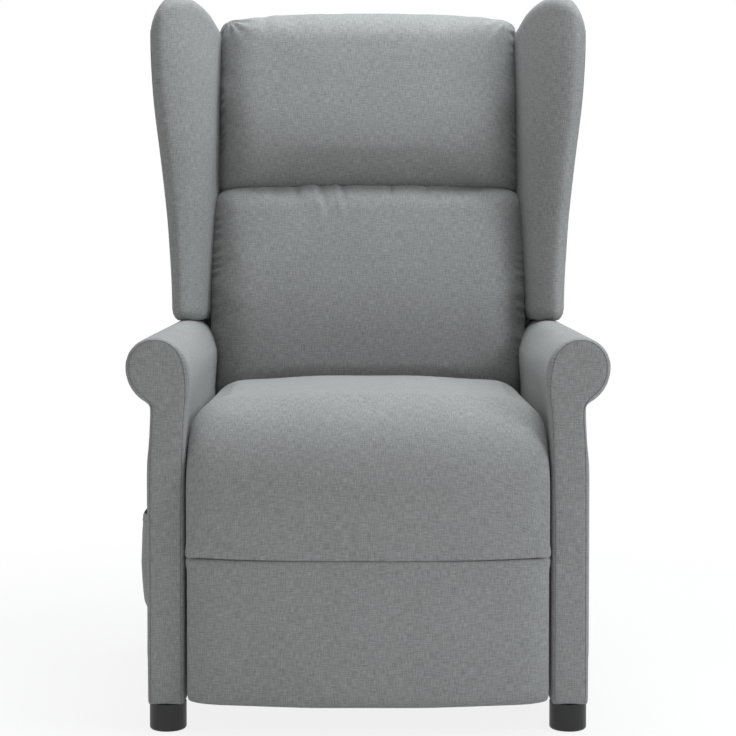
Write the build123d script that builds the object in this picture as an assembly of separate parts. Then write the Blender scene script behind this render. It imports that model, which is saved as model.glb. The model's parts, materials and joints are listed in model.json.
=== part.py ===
# Wingback massage recliner: base with scroll arms, gliding seat, reclining winged back,
# fold-out footrest on a parallel linkage, vibration massage pods and a handset in a side pocket.
# Millimetres, +Z up, the chair faces -Y, origin on the floor at the middle of its box.
import os
from math import atan2, cos, degrees, hypot, radians, sin, tan

from build123d import *

# Driving dimensions: d is the depth behind the arms' front faces, z the height over the floor.
slide_gap = 0.5            # room between soft pieces that slide past each other
soft_gap = 0.3             # room between a soft piece and what it rests against
run_clear = 0.05           # radial clearance of a pin that turns in its hole
loose_clear = 0.3          # radial clearance of the linkage's open pivot and of the glide slots

# Arms
arm_inner_x = 266.0        # inner face of each arm
arm_outer_x = 321.0        # outer face of each arm near the floor
arm_length = 640.0         # front face to rear face
arm_edge = 6.0             # rounding of the front and rear edges
arm_bottom_z = 40.0        # also the feet's height
neck_x = 316.0             # outer crease under the scroll
neck_z = 478.0
scroll_outer_x = 352.0
scroll_mid_z = 530.0
scroll_top_z = 576.0
board_thick = 24.0         # timber core of an arm
board_margin = 22.0        # arm padding in front of and behind the board
board_top_z = 500.0

# Feet
foot_radius = 27.0
foot_inset = 28.0          # foot centre from the arm's front or rear face
foot_round = 4.0
stud_radius = 4.0
stud_length = 45.0
stud_in_foot = 25.0

# Base rails
rail_thick = 28.0
front_rail_d = 262.0
rail_low_z = 60.0
front_rail_high_z = 150.0
rear_rail_inset = 32.0     # rear rail to the arms' rear faces
rear_rail_high_z = 150.0
rail_bolt_radius = 4.0
rail_bolt_grip = 40.0      # bolt length inside the rail
bolt_head_radius = 8.0
bolt_head_height = 5.0

# Plates of the mechanism, counted inwards from the arm
plate_thick = 3.0
plate_gap = 1.0
layer_pitch = plate_thick + plate_gap
glide_travel = 50.0
glide_rise_deg = 8.0
glide_roller_radius = 6.0
glide_roller_d = (250.0, 470.0)
glide_roller_z = 252.0
mechanism_outline = ((150.0, 235.0), (175.0, 282.0), (520.0, 282.0), (560.0, 230.0), (560.0, 175.0), (520.0, 150.0),
                     (190.0, 150.0))
bracket_outline = ((48.0, 232.0), (48.0, 256.0), (72.0, 296.0), (90.0, 326.0), (500.0, 326.0), (618.0, 296.0),
                   (618.0, 264.0), (560.0, 236.0), (250.0, 236.0), (140.0, 204.0), (95.0, 204.0))
back_bracket_outline = ((-26.0, -30.0), (21.0, -30.0), (21.0, 120.0), (-6.0, 120.0), (-26.0, 30.0))

# Seat
seat_half_x = arm_inner_x - 2.0
seat_front_crown = 46.0    # the cushion's front swells this far before the arms
seat_side_front = 18.0     # the same at its sides
seat_rear_lip = 1.0        # the cushion passes the rear rail by this much
seat_skirt_z = 258.0       # seam between the seat front and the footrest
seat_skirt_inner_d = 38.0
seat_base_z = 330.0        # top of the seat frame
seat_top_z = 487.0
seat_front_radius = 125.0
seat_side_drop = 42.0      # how much lower the sides are than the crown
frame_rail_height = 40.0
frame_rail_width = 30.0
seat_front_rail_thick = 26.0
seat_rear_rail_d = 476.0
seat_rear_rail_thick = 28.0
spring_wire_radius = 1.9
spring_count = 5
spring_pitch_x = 84.0
spring_bends = 14
spring_swing = 21.0        # half the width of one zigzag
spring_bend_radius = 9.0
spring_drop = 8.0          # wire centre below the frame's top

# Back, in its own frame: origin at the recline pivot, p forward is negative, q up the back
pivot_d = 600.0
pivot_z = 280.0
pivot_radius = 6.0
back_lean = 12.0
back_frame_front = -8.0
back_frame_thick = 30.0
stile_width = 40.0
stile_outer_x = 255.0
stile_low_q = -32.0
back_frame_top_q = 800.0
back_rail_height = 60.0
back_rail_q = (-5.0, 470.0, 740.0)
strap_thick = 2.0
strap_height = 50.0
strap_q = (160.0, 245.0, 340.0, 420.0, 655.0)
lumbar_half_x = 263.0
lumbar_low_q = 150.0
lumbar_high_q = 530.0
lumbar_front = -100.0
lumbar_bulge = 22.0
head_half_x = 260.0
head_low_q = 532.0
head_high_q = 846.0
head_front = -92.0
head_bulge = 26.0
cushion_corner = 30.0
back_seam_arch = 12.0      # the seam between the back cushions is lower at its ends
outer_back_thick = 26.0
outer_back_round = 10.0
outer_back_top_q = 806.0
outer_back_low_q = -25.0
outer_back_half_x = 258.0

# Wings: height q, outer x at the front edge, depth p of the front edge
wing_root_x = 264.0
wing_root_outer_x = 318.0
wing_rear_p = 44.0
wing_thick = 60.0
wing_bottom_z = 581.0
wing_tail_z = 480.0        # behind the arms the wings reach further down
wing_tail_gap = 6.0
wing_bend_p = -86.0
wing_board_thick = 12.0
wing_board_x = 288.0
wing_board_low_q = 360.0
wing_board_high_q = 690.0
wing_board_front_p = -110.0
wing_board_rear_p = 20.0
wing_brace_q = (380.0, 620.0)   # blocks that fasten the wing's board to the stile
wing_brace_height = 50.0
wing_top_q = 826.0
wing_slope_x = 322.0       # from here inwards the wing's top slopes down
wing_slope_deg = 32.0
wing_stations = ((160.0, 327.0, -170.0), (250.0, 328.5, -173.0), (340.0, 331.0, -178.0), (440.0, 338.0, -190.0),
                 (540.0, 350.0, -215.0), (640.0, 364.0, -240.0), (730.0, 369.0, -252.0), (780.0, 366.0, -250.0),
                 (808.0, 354.0, -238.0))

# Footrest and its linkage, stowed: pivots as (d, z)
footrest_low_z = 50.0
footrest_high_z = 256.5
footrest_half_x = 263.0
footrest_front_crown = 46.0
footrest_side_front = 18.0
footrest_pad_back_d = 12.0
footrest_board_thick = 12.0
footrest_board_margin = 14.0
footrest_board_top_margin = 5.0
drive_pivot = (110.0, 222.0)
drive_end = (215.0, 90.0)
guide_offset = (-46.0, 21.0)
panel_pivot = (44.0, 200.0)
link_half_width = 9.0
link_pin_radius = 4.0
torque_tube_radius = 9.0
torque_tube_wall = 1.5
cross_bar_radius = 6.0

# Massage
pod_radius = 32.0
pod_height = 22.0
pod_places = ((-110.0, 240.0), (110.0, 240.0), (-110.0, 420.0), (110.0, 420.0))
head_pod_places = ((-90.0, 660.0), (90.0, 660.0))
seat_pod_places = ((-126.0, 330.0), (126.0, 330.0))
heat_pad_half_x = 60.0
heat_pad_low_q = 290.0
heat_pad_high_q = 390.0
heat_pad_thick = 3.0
box_half_x = 62.0
box_depth = 70.0
box_height = 40.0
box_top_z = 314.0
inlet_radius = 4.0
inlet_depth = 12.0

# Side pocket on the chair's right arm and the handset in it
pocket_d = 175.0           # middle of the pocket
pocket_length = 176.0
pocket_low_z = 150.0
pocket_high_z = 306.0
pocket_bulge = 25.0
pocket_wall = 2.0
pocket_mouth_bulge = 20.5
pocket_foot_bulge = 9.0
handset_length = 150.0
handset_width = 48.0
handset_thick = 16.0
handset_wall = 2.0
handset_lift = 130.0
handset_low_z = 188.0
handset_corner = 8.0
button_radius = 6.5
button_stand = 1.6
button_travel = 1.0
button_flange = 2.0         # how much wider a button's inner flange is
button_flange_thick = 1.2
button_post_radius = 2.0
button_post_gap = 0.2       # left between a pressed button and the circuit board
button_clear = 0.3
circuit_thick = 1.6
button_drop = (16.0, 36.0, 56.0, 76.0)   # from the handset's top end
button_names = ("power_button", "zone_button", "strength_button", "heat_button")

# Values worked out from the sizes above
lean = radians(back_lean)
outer_back_p = back_frame_front + back_frame_thick
back_reach = (pivot_d + (outer_back_p + outer_back_thick - outer_back_round) * cos(lean)
              + (outer_back_top_q - outer_back_round) * sin(lean) + outer_back_round)
front_y = -(back_reach - seat_front_crown) / 2      # y of the arms' front faces
pivot_y = front_y + pivot_d
board_mid_x = (arm_inner_x + arm_outer_x) / 2
seat_front_rail_d = seat_skirt_inner_d + soft_gap
rear_rail_d = arm_length - rear_rail_inset - rail_thick
seat_rear_d = seat_rear_rail_d + seat_rear_rail_thick + seat_rear_lip
mech_x = arm_inner_x - plate_thick                  # inner face of each plate layer
bracket_x = mech_x - layer_pitch
hinge_x = bracket_x - layer_pitch
link_x = hinge_x - plate_gap * 3
mid_link_x = link_x - layer_pitch
panel_bracket_x = mid_link_x - layer_pitch
cushion_back_p = back_frame_front - strap_thick - 2 * soft_gap
cut_size = 2 * back_reach
under_cut = Box(cut_size, cut_size, cut_size, align=(Align.CENTER, Align.CENTER, Align.MAX))


def yz_face(points, x):
    # A flat face at x from (d, z) points
    outline = Polyline(*[(front_y + d, z) for d, z in points], close=True)
    return Plane.YZ.offset(x) * make_face(outline)


def side_plate(points, x, thick=plate_thick):
    return extrude(yz_face(points, x), amount=thick)


def x_pin(radius, x_low, x_high, d, z):
    # A round bar along X
    place = Plane((x_low, front_y + d, z), x_dir=(0, 1, 0), z_dir=(1, 0, 0))
    return place * Cylinder(radius, x_high - x_low, align=(Align.CENTER, Align.CENTER, Align.MIN))


def box(x_span, d_span, z_span):
    low = (x_span[0], front_y + d_span[0], z_span[0])
    size = (x_span[1] - x_span[0], d_span[1] - d_span[0], z_span[1] - z_span[0])
    return Pos(*low) * Box(*size, align=Align.MIN)


def mirrored(shape):
    return mirror(shape, about=Plane.YZ)


def leaned(shape):
    # From the back's own frame to the chair's
    return Pos(0, pivot_y, pivot_z) * Rot(-back_lean, 0, 0) * shape


def back_box(x_span, p_span, q_span):
    low = (x_span[0], p_span[0], q_span[0])
    size = (x_span[1] - x_span[0], p_span[1] - p_span[0], q_span[1] - q_span[0])
    return Pos(*low) * Box(*size, align=Align.MIN)


def link_bar(start, end, x):
    # A round-ended link plate between two pivots
    length = hypot(end[0] - start[0], end[1] - start[1])
    turn = degrees(atan2(end[1] - start[1], end[0] - start[0]))
    bar = SlotCenterToCenter(length, 2 * link_half_width)
    middle = ((start[0] + end[0]) / 2, (start[1] + end[1]) / 2)
    place = Plane.YZ.offset(x) * Pos(front_y + middle[0], middle[1]) * Rot(0, 0, turn)
    return extrude(place * bar, amount=plate_thick)


def rounded(points, radii, place):
    # A closed outline of lines and arcs, each corner rounded by its own radius
    edges = []
    ends = []
    count = len(points)
    for i, radius in enumerate(radii):
        here = Vector(*points[i])
        before = (Vector(*points[i - 1]) - here).normalized()
        after = (Vector(*points[(i + 1) % count]) - here).normalized()
        half_turn = radians(before.get_angle(after)) / 2
        reach = radius / tan(half_turn)
        start = here + before * reach
        end = here + after * reach
        ends.append((start, end))
        if radius:
            inward = (before + after).normalized()
            middle = here + inward * (radius / sin(half_turn) - radius)
            edges.append(ThreePointArc(start, middle, end))
        edges.append(None)
    joined = []
    corner = 0
    for edge in edges:
        if edge is None:
            joined.append(Line(ends[corner][1], ends[(corner + 1) % count][0]))
            corner += 1
        else:
            joined.append(edge)
    return place * Wire([edge.edge() for edge in joined])


def skin(outlines):
    return Solid.make_loft([outline.wire() for outline in outlines])


def crowned(middle, side, share):
    # A crown that falls off from the middle to the sides
    return side + (middle - side) * (1 - abs(share) ** 2.6)


# The sections of every cushion, as shares of its half width, and how far its ends are drawn in there
cushion_shares = (-1.0, -0.95, -0.78, -0.4, 0.0, 0.4, 0.78, 0.95, 1.0)
end_draw = {1.0: 1.0, 0.95: 0.36, 0.78: 0.06, 0.4: 0.0, 0.0: 0.0}


def arm_profile():
    inner = Polyline((arm_inner_x, scroll_mid_z), (arm_inner_x, arm_bottom_z), (arm_outer_x, arm_bottom_z),
                     (arm_outer_x, 0.82 * neck_z))
    waist = ThreePointArc((arm_outer_x, 0.82 * neck_z), ((arm_outer_x + neck_x) / 2 - 0.8, 0.91 * neck_z),
                          (neck_x, neck_z))
    scroll_x = (arm_inner_x + scroll_outer_x) / 2
    under = ThreePointArc((neck_x, neck_z), (scroll_outer_x - 10, (neck_z + scroll_mid_z) / 2 - 5),
                          (scroll_outer_x, scroll_mid_z))
    top = ThreePointArc((scroll_outer_x, scroll_mid_z), (scroll_x, scroll_top_z), (arm_inner_x, scroll_mid_z))
    return make_face([*inner.edges(), waist, under, top])


def arm_solid():
    # The padded arm on the +X side, before the timber core is cut out of it
    place = Plane((0, front_y, 0), x_dir=(1, 0, 0), z_dir=(0, -1, 0))
    body = extrude(place * arm_profile(), amount=-arm_length)
    ends = body.edges().filter_by(lambda e: abs(e.center().Y - front_y) < 0.01
                                  or abs(e.center().Y - front_y - arm_length) < 0.01)
    return fillet(ends, arm_edge)


def board_solid():
    half = board_thick / 2
    return box((board_mid_x - half, board_mid_x + half), (board_margin, arm_length - board_margin),
               (arm_bottom_z, board_top_z))


def rail_solid(d, high_z):
    return box((-arm_inner_x, arm_inner_x), (d, d + rail_thick), (rail_low_z, high_z))


def rail_bolt_spots():
    for d, high_z in ((front_rail_d, front_rail_high_z), (rear_rail_d, rear_rail_high_z)):
        for share in (0.3, 0.7):
            yield d + rail_thick / 2, rail_low_z + share * (high_z - rail_low_z)


def rail_bolts():
    # Bolts from the arm's timber core into the rails, +X side
    head_x = board_mid_x + board_thick / 2
    bolts = []
    for d, z in rail_bolt_spots():
        shank = x_pin(rail_bolt_radius, arm_inner_x - rail_bolt_grip, head_x, d, z)
        bolts.append(shank + x_pin(bolt_head_radius, head_x, head_x + bolt_head_height, d, z))
    return bolts


def foot_spots():
    return (foot_inset, arm_length - foot_inset)


def foot_solid(x, d):
    base = Pos(x, front_y + d, 0) * Cylinder(foot_radius, arm_bottom_z, align=(Align.CENTER, Align.CENTER, Align.MIN))
    return fillet(base.edges().sort_by(Axis.Z)[0], foot_round)


def stud_solid(x, d):
    low = arm_bottom_z - stud_in_foot
    return Pos(x, front_y + d, low) * Cylinder(stud_radius, stud_length,
                                               align=(Align.CENTER, Align.CENTER, Align.MIN))


def glide_step():
    turn = radians(glide_rise_deg)
    return -glide_travel * cos(turn), glide_travel * sin(turn)


def mech_plate():
    # Fixed plate on the arm's inner face, with the two slots that guide the seat
    plate = side_plate(mechanism_outline, mech_x)
    step_d, step_z = glide_step()
    for d in glide_roller_d:
        slot = SlotCenterToCenter(glide_travel, 2 * (glide_roller_radius + loose_clear))
        middle = Pos(front_y + d + step_d / 2, glide_roller_z + step_z / 2) * Rot(0, 0, -glide_rise_deg)
        plate -= extrude(Plane.YZ.offset(mech_x) * middle * slot, amount=plate_thick)
    return plate


def base_parts():
    parts = {}
    board = board_solid()
    bolts = rail_bolts()
    studs = [stud_solid(board_mid_x, d) for d in foot_spots()]
    arm = arm_solid() - board
    for bolt in bolts:
        arm -= bolt
        board -= bolt
    for stud in studs:
        arm -= stud
        board -= stud
    parts["arm_pad_left"] = arm
    parts["arm_pad_right"] = mirrored(arm)
    parts["arm_board_left"] = board
    parts["arm_board_right"] = mirrored(board)
    all_bolts = bolts + [mirrored(bolt) for bolt in bolts]
    parts["rail_bolts"] = Compound(children=[b.solid() for b in all_bolts])
    front_rail = rail_solid(front_rail_d, front_rail_high_z)
    rear_rail = rail_solid(rear_rail_d, rear_rail_high_z)
    for bolt in all_bolts:
        front_rail -= bolt
        rear_rail -= bolt
    parts["base_front_rail"] = front_rail
    parts["base_rear_rail"] = rear_rail
    for end, d in zip(("front", "rear"), foot_spots()):
        foot = foot_solid(board_mid_x, d) - stud_solid(board_mid_x, d)
        parts[f"foot_{end}_left"] = foot
        parts[f"foot_{end}_right"] = mirrored(foot)
    parts["foot_studs"] = Compound(children=[s.solid() for s in studs + [mirrored(s) for s in studs]])
    plate = mech_plate()
    parts["mechanism_plate_left"] = plate
    parts["mechanism_plate_right"] = mirrored(plate)
    return parts


def seat_section(share):
    draw = end_draw[abs(share)]
    front = -crowned(seat_front_crown, seat_side_front, share) + 8 * draw
    top = seat_top_z - seat_side_drop * draw - 8 * abs(share) ** 2
    low = seat_skirt_z + 2 * draw
    points = [(front, low), (front, top), (seat_rear_d, top - 6), (seat_rear_d, seat_base_z),
              (seat_skirt_inner_d, seat_base_z), (seat_skirt_inner_d, low)]
    radii = (12, seat_front_radius - 30 * draw, 34, 3, 0, 3)
    points = [(front_y + d, z) for d, z in points]
    return rounded(points, radii, Plane.YZ.offset(share * seat_half_x))


def seat_pods():
    low = seat_base_z - spring_drop + spring_wire_radius + soft_gap
    return [Pos(x, front_y + d, low) * Cylinder(pod_radius, pod_height, align=(Align.CENTER, Align.CENTER, Align.MIN))
            for x, d in seat_pod_places]


def pod_room(x, d):
    return Pos(x, front_y + d, seat_base_z - pod_height) * Cylinder(
        pod_radius + slide_gap, 2 * pod_height, align=(Align.CENTER, Align.CENTER, Align.MIN))


def zigzag_spring(x):
    # One wire from the front seat rail to the rear one, bent to and fro
    start = seat_front_rail_d + seat_front_rail_thick
    run = seat_rear_rail_d - start
    lead = run / (spring_bends + 2)
    z = seat_base_z - spring_drop
    points = [(x, front_y + start, z), (x, front_y + start + lead / 2, z)]
    for i in range(spring_bends + 1):
        side = spring_swing if i % 2 else -spring_swing
        d = start + lead * (i + 0.5)
        points += [(x + side, front_y + d, z), (x + side, front_y + d + lead, z)]
    points = points[:1] + points[1:]
    last = start + run
    points += [(x, front_y + last - lead / 2, z), (x, front_y + last, z)]
    clean = [points[0]]
    for point in points[1:]:
        if hypot(point[0] - clean[-1][0], point[1] - clean[-1][1]) > 0.1:
            clean.append(point)
    path = FilletPolyline(*clean, radius=spring_bend_radius)
    section = Plane(path @ 0, z_dir=path % 0) * Circle(spring_wire_radius)
    return sweep(section, path=path)


def seat_bracket():
    # Steel side plate of the seat: carries the glide rollers, the footrest pivots and the recline pivot
    plate = side_plate(bracket_outline, bracket_x)
    plate -= x_pin(torque_tube_radius + run_clear, bracket_x, bracket_x + plate_thick, *drive_pivot)
    guide = guide_pivot()
    plate -= x_pin(link_pin_radius, bracket_x, bracket_x + plate_thick, *guide)
    plate -= x_pin(pivot_radius, bracket_x, bracket_x + plate_thick, pivot_d, pivot_z)
    return plate


def guide_pivot():
    return drive_pivot[0] + guide_offset[0], drive_pivot[1] + guide_offset[1]


def guide_end():
    return drive_end[0] + guide_offset[0], drive_end[1] + guide_offset[1]


def both_sides(solids):
    return Compound(children=[s.solid() for s in [*solids, *[mirrored(s) for s in solids]]])


def seat_parts():
    parts = {}
    cushion = skin([seat_section(share) for share in cushion_shares])
    for x, d in seat_pod_places:
        cushion -= pod_room(x, d)
    parts["seat_cushion"] = cushion
    parts["seat_massage_pods"] = Compound(children=[p.solid() for p in seat_pods()])
    low = seat_base_z - frame_rail_height
    side_x = bracket_x - frame_rail_width
    rail_d = (seat_front_rail_d, seat_front_rail_d + seat_front_rail_thick)
    parts["seat_front_rail"] = box((-side_x, side_x), rail_d, (low, seat_base_z))
    rail_d = (seat_rear_rail_d, seat_rear_rail_d + seat_rear_rail_thick)
    parts["seat_rear_rail"] = box((-side_x, side_x), rail_d, (low, seat_base_z))
    side = box((side_x, bracket_x), (seat_front_rail_d, rail_d[1]), (low, seat_base_z))
    parts["seat_side_rail_left"] = side
    parts["seat_side_rail_right"] = mirrored(side)
    first = -(spring_count - 1) / 2
    spring = zigzag_spring(first * spring_pitch_x)
    springs = [Pos(i * spring_pitch_x, 0, 0) * spring for i in range(spring_count)]
    parts["seat_springs"] = Compound(children=[s.solid() for s in springs])
    bracket = seat_bracket()
    parts["seat_bracket_left"] = bracket
    parts["seat_bracket_right"] = mirrored(bracket)
    rollers = [x_pin(glide_roller_radius, bracket_x + plate_thick, arm_inner_x - soft_gap, d, glide_roller_z)
               for d in glide_roller_d]
    parts["glide_rollers"] = both_sides(rollers)
    recline_pin = x_pin(pivot_radius, hinge_x + soft_gap, bracket_x + plate_thick, pivot_d, pivot_z)
    guide_pin = x_pin(link_pin_radius, link_x, bracket_x + plate_thick, *guide_pivot())
    parts["pivot_pins"] = both_sides([recline_pin, guide_pin])
    control_d = (seat_rear_rail_d - box_depth, seat_rear_rail_d)
    control = box((-box_half_x, box_half_x), control_d, (box_top_z - box_height, box_top_z))
    control = fillet(control.edges().filter_by(Axis.Z), 6)
    inlet = Cylinder(inlet_radius, inlet_depth, align=(Align.CENTER, Align.CENTER, Align.MIN))
    control -= Pos(0, front_y + seat_rear_rail_d - box_depth / 2, box_top_z - box_height) * inlet
    parts["massage_control_box"] = control
    return parts


def back_section(share, half_x, low, high, front, bulge):
    # One upright section of a back cushion in the back's own frame
    draw = end_draw[abs(share)]
    arch = back_seam_arch * share ** 2
    low += 5 * draw - arch
    high -= 10 * draw + arch
    front += 26 * draw
    swell = bulge * (1 - 0.75 * draw)
    points = [(cushion_back_p, low), (cushion_back_p, high), (front, high - 6), (front - swell, (low + high) / 2),
              (front, low + 4)]
    corner = cushion_corner - 8 * draw
    return rounded(points, (5, 6, corner, 160, corner), Plane.YZ.offset(share * half_x))


def back_cushion(half_x, low, high, front, bulge):
    return skin([back_section(share, half_x, low, high, front, bulge) for share in cushion_shares])


def back_pod(x, q, extra=0.0):
    # A massage motor pod that lies against the straps, seen along p
    place = Plane((x, cushion_back_p, q), x_dir=(1, 0, 0), z_dir=(0, -1, 0))
    start = Pos(0, 0, -extra)
    return place * start * Cylinder(pod_radius + extra, pod_height + 2 * extra,
                                    align=(Align.CENTER, Align.CENTER, Align.MIN))


def heat_pad(extra=0.0):
    return back_box((-heat_pad_half_x - extra, heat_pad_half_x + extra),
                    (cushion_back_p - heat_pad_thick - extra, cushion_back_p + extra),
                    (heat_pad_low_q - extra, heat_pad_high_q + extra))


def wing_section(q, outer_x, front_p):
    points = [(wing_root_x, wing_rear_p), (wing_root_x, wing_bend_p), (outer_x - wing_thick, front_p),
              (outer_x, front_p + 18), (wing_root_outer_x, wing_rear_p)]
    return rounded(points, (8, 60, 20, 22, 10), Plane.XY.offset(q))


def wing_solid():
    # The +X wing in the back's own frame, flared outwards and forwards, with a round top
    sections = [wing_section(q, outer_x, front_p) for q, outer_x, front_p in wing_stations]
    top = [(wing_root_x + 9, 10), (wing_root_x + 10, -80), (302, -180), (328, -172), (wing_root_outer_x - 4, 10)]
    cap = rounded(top, (6, 40, 8, 8, 8), Plane.XY.offset(wing_top_q))
    wing = skin(sections) + Solid.make_loft([sections[-1].wire(), cap.wire()], ruled=True)
    above = Box(wing_slope_x, cut_size, wing_slope_x, align=(Align.MAX, Align.CENTER, Align.MIN))
    return wing - Pos(wing_slope_x, 0, wing_top_q) * Rot(0, -wing_slope_deg, 0) * above


def wing_board():
    board = back_box((wing_board_x, wing_board_x + wing_board_thick), (wing_board_front_p, wing_board_rear_p),
                     (wing_board_low_q, wing_board_high_q))
    for q in wing_brace_q:
        board += back_box((stile_outer_x, wing_board_x), (back_frame_front, wing_board_rear_p),
                          (q, q + wing_brace_height))
    return board


def back_parts():
    parts = {}
    rear_p = back_frame_front + back_frame_thick
    inner_x = stile_outer_x - stile_width
    stile = leaned(back_box((inner_x, stile_outer_x), (back_frame_front, rear_p), (stile_low_q, back_frame_top_q)))
    parts["back_stile_left"] = stile
    parts["back_stile_right"] = mirrored(stile)
    rails = [back_box((-inner_x, inner_x), (back_frame_front, rear_p), (q, q + back_rail_height)) for q in back_rail_q]
    parts["back_rails"] = Compound(children=[leaned(rail).solid() for rail in rails])
    strap_p = (back_frame_front - strap_thick, back_frame_front)
    straps = [back_box((-stile_outer_x, stile_outer_x), strap_p, (q - strap_height / 2, q + strap_height / 2))
              for q in strap_q]
    parts["back_straps"] = Compound(children=[leaned(strap).solid() for strap in straps])
    lumbar = back_cushion(lumbar_half_x, lumbar_low_q, lumbar_high_q, lumbar_front, lumbar_bulge)
    head = back_cushion(head_half_x, head_low_q, head_high_q, head_front, head_bulge)
    for x, q in pod_places:
        lumbar -= back_pod(x, q, soft_gap)
    lumbar -= heat_pad(soft_gap)
    for x, q in head_pod_places:
        head -= back_pod(x, q, soft_gap)
    parts["lumbar_cushion"] = leaned(lumbar)
    parts["head_cushion"] = leaned(head)
    pods = [back_pod(x, q) for x, q in pod_places + head_pod_places]
    parts["back_massage_pods"] = Compound(children=[leaned(pod).solid() for pod in pods])
    parts["heat_pad"] = leaned(heat_pad())
    board = wing_board()
    wing = leaned(wing_solid() - board)
    wing -= Pos(0, 0, wing_tail_z) * under_cut
    arm_rear = front_y + arm_length + wing_tail_gap
    wing -= Pos(0, arm_rear - cut_size / 2, wing_bottom_z) * under_cut
    board = leaned(board)
    parts["wing_left"] = wing
    parts["wing_right"] = mirrored(wing)
    parts["wing_board_left"] = board
    parts["wing_board_right"] = mirrored(board)
    panel = back_box((-outer_back_half_x, outer_back_half_x), (outer_back_p, outer_back_p + outer_back_thick),
                     (outer_back_low_q, outer_back_top_q))
    panel = fillet(panel.faces().sort_by(Axis.Y)[-1].edges(), outer_back_round)
    parts["outer_back_panel"] = leaned(panel)
    plate = Plane.YZ.offset(hinge_x) * make_face(Polyline(*back_bracket_outline, close=True))
    bracket = extrude(plate, amount=plate_thick)
    pin_place = Plane((hinge_x, 0, 0), x_dir=(0, 1, 0), z_dir=(1, 0, 0))
    bracket -= pin_place * Cylinder(pivot_radius + run_clear, plate_thick, align=(Align.CENTER, Align.CENTER, Align.MIN))
    parts["back_brackets"] = both_sides([leaned(bracket)])
    return parts


def pierced(bar, x, spots):
    for (d, z), radius in spots:
        bar -= x_pin(radius, x, x + plate_thick, d, z)
    return bar


def footrest_section(share):
    draw = end_draw[abs(share)]
    front = -crowned(footrest_front_crown, footrest_side_front, share) + 10 * draw
    low = footrest_low_z + 3 * draw
    high = footrest_high_z - 3 * draw
    points = [(footrest_pad_back_d, low), (footrest_pad_back_d, high), (front, high), (front, low)]
    points = [(front_y + d, z) for d, z in points]
    return rounded(points, (3, 3, 12 - 4 * draw, 16 - 6 * draw), Plane.YZ.offset(share * footrest_half_x))


def footrest_parts():
    parts = {}
    turning = link_pin_radius + run_clear
    drive = pierced(link_bar(drive_pivot, drive_end, link_x), link_x,
                    ((drive_pivot, torque_tube_radius), (drive_end, turning)))
    parts["drive_link_left"] = drive
    parts["drive_link_right"] = mirrored(drive)
    tube_end = bracket_x + plate_thick
    tube = x_pin(torque_tube_radius, -tube_end, tube_end, *drive_pivot)
    tube -= x_pin(torque_tube_radius - torque_tube_wall, -tube_end, tube_end, *drive_pivot)
    parts["torque_tube"] = tube
    guide = pierced(link_bar(guide_pivot(), guide_end(), link_x), link_x,
                    ((guide_pivot(), turning), (guide_end(), link_pin_radius + loose_clear)))
    parts["guide_link_left"] = guide
    parts["guide_link_right"] = mirrored(guide)
    pin_spots = (drive_end, guide_end(), panel_pivot)
    mid = link_bar(drive_end, guide_end(), mid_link_x) + link_bar(guide_end(), panel_pivot, mid_link_x)
    mid = pierced(mid, mid_link_x, [(spot, link_pin_radius) for spot in pin_spots])
    parts["mid_link_left"] = mid
    parts["mid_link_right"] = mirrored(mid)
    pins = [x_pin(link_pin_radius, mid_link_x, link_x + plate_thick, *spot) for spot in pin_spots[:2]]
    pins.append(x_pin(link_pin_radius, panel_bracket_x, mid_link_x + plate_thick, *panel_pivot))
    parts["link_pins"] = both_sides(pins)
    bar_d = (guide_end()[0] + panel_pivot[0]) / 2
    bar_z = (guide_end()[1] + panel_pivot[1]) / 2
    parts["cross_bar"] = x_pin(cross_bar_radius, -mid_link_x, mid_link_x, bar_d, bar_z)
    parts["footrest_pad"] = skin([footrest_section(share) for share in cushion_shares])
    board_d = (footrest_pad_back_d, footrest_pad_back_d + footrest_board_thick)
    half_x = footrest_half_x - footrest_board_margin
    parts["footrest_board"] = box((-half_x, half_x), board_d, (footrest_low_z + footrest_board_margin,
                                                              footrest_high_z - footrest_board_top_margin))
    pivot_d_here, pivot_z_here = panel_pivot
    reach = link_half_width
    bracket = side_plate([(board_d[1], pivot_z_here - 60), (board_d[1], pivot_z_here + reach + 4),
                          (pivot_d_here + reach, pivot_z_here + reach + 4), (pivot_d_here + reach, pivot_z_here - reach),
                          (board_d[1] + 12, pivot_z_here - 60)], panel_bracket_x)
    bracket = pierced(bracket, panel_bracket_x, ((panel_pivot, turning),))
    parts["footrest_brackets"] = both_sides([bracket])
    return parts


def pocket_section(z, bulge, wall):
    half = pocket_length / 2 - wall
    place = Plane((0, front_y + pocket_d, z), x_dir=(1, 0, 0), z_dir=(0, 0, 1))
    arc = ThreePointArc((-arm_outer_x, -half), (-arm_outer_x - bulge + wall, 0), (-arm_outer_x, half))
    chord = Line((-arm_outer_x, half), (-arm_outer_x, -half))
    return place * Wire([arc.edge(), chord.edge()])


def pocket_solid():
    span = pocket_high_z - pocket_low_z
    stations = [(pocket_low_z, pocket_foot_bulge), (pocket_low_z + 0.2 * span, 0.82 * pocket_bulge),
                (pocket_low_z + 0.5 * span, pocket_bulge), (pocket_low_z + 0.8 * span, 0.94 * pocket_bulge),
                (pocket_high_z, pocket_mouth_bulge)]
    outer = skin([pocket_section(z, bulge, 0) for z, bulge in stations])
    inner = skin([pocket_section(z, bulge, pocket_wall) for z, bulge in stations])
    return outer - (inner - Pos(0, 0, pocket_low_z + pocket_wall) * under_cut)


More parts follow.
